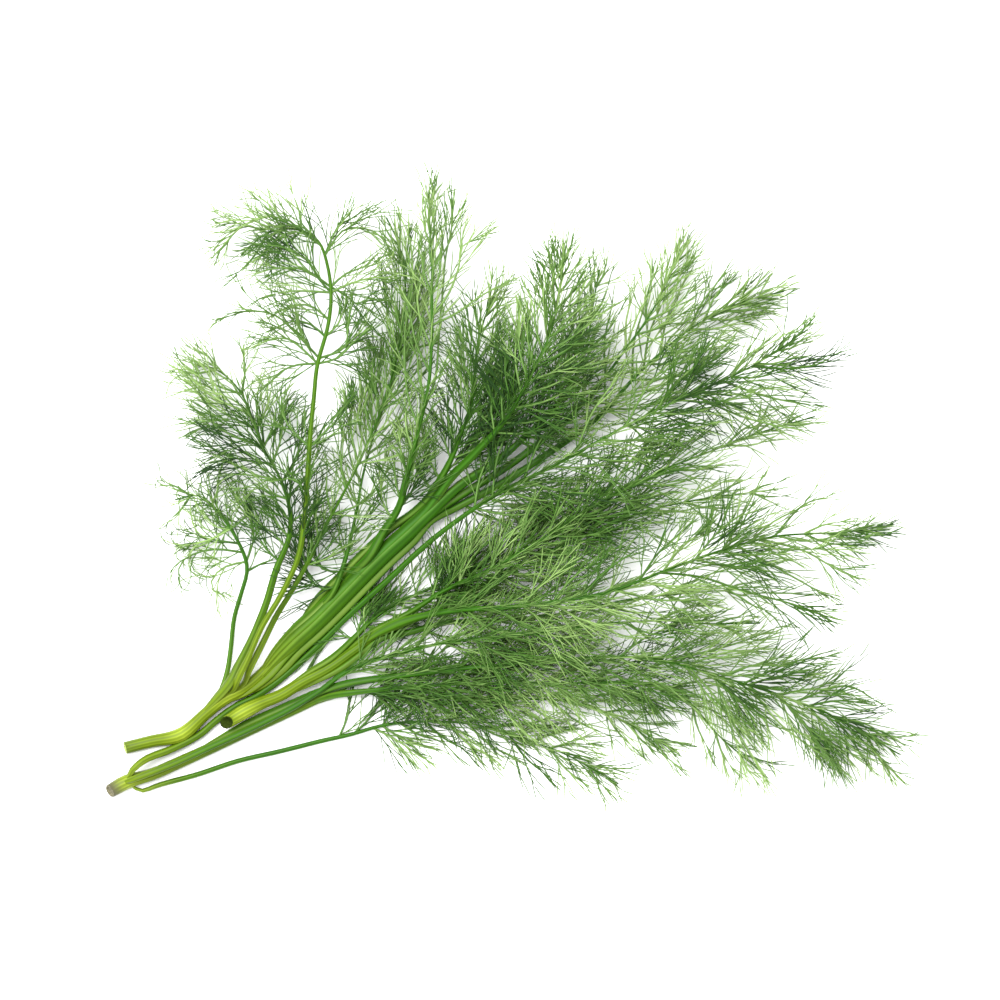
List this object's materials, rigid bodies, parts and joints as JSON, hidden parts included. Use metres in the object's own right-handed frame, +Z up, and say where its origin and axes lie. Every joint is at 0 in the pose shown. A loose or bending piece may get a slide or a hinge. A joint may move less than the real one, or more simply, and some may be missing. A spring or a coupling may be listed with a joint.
{
  "type": "dill bunch",
  "caption": "Small bunch of fresh dill lying flat: cut green stems with sheathed leafstalks and fans of fine, thread-like feathery leaves.",
  "frame": {"origin": "on the surface the bunch lies on, under the middle of its box", "axes": "+X along the bunch from the cut stem ends to the leaf tips, +Z up from the surface"},
  "size_m": [0.241, 0.1849, 0.0254],
  "materials": {
    "stem": "fresh green stem, ribbed and waxy, satin",
    "leaf": "fresh green leaf threads, waxy, satin"
  },
  "bodies": {
    "root": {"stem_1": "stem", "stem_2": "stem", "stem_3": "stem", "leaf_1a": "leaf", "leaf_1b": "leaf", "leaf_1c": "leaf", "leaf_1d": "leaf", "leaf_1e": "leaf", "leaf_1f": "leaf", "leaf_1g": "leaf", "leaf_1h": "leaf", "leaf_1i": "leaf", "leaf_1j": "leaf", "leaf_1k": "leaf", "leaf_2a": "leaf", "leaf_2b": "leaf", "leaf_2c": "leaf", "leaf_2d": "leaf", "leaf_2e": "leaf", "leaf_2f": "leaf", "leaf_3a": "leaf", "leaf_3b": "leaf", "leaf_3c": "leaf", "leaf_3d": "leaf", "leaf_3e": "leaf"}
  },
  "joints": []
}
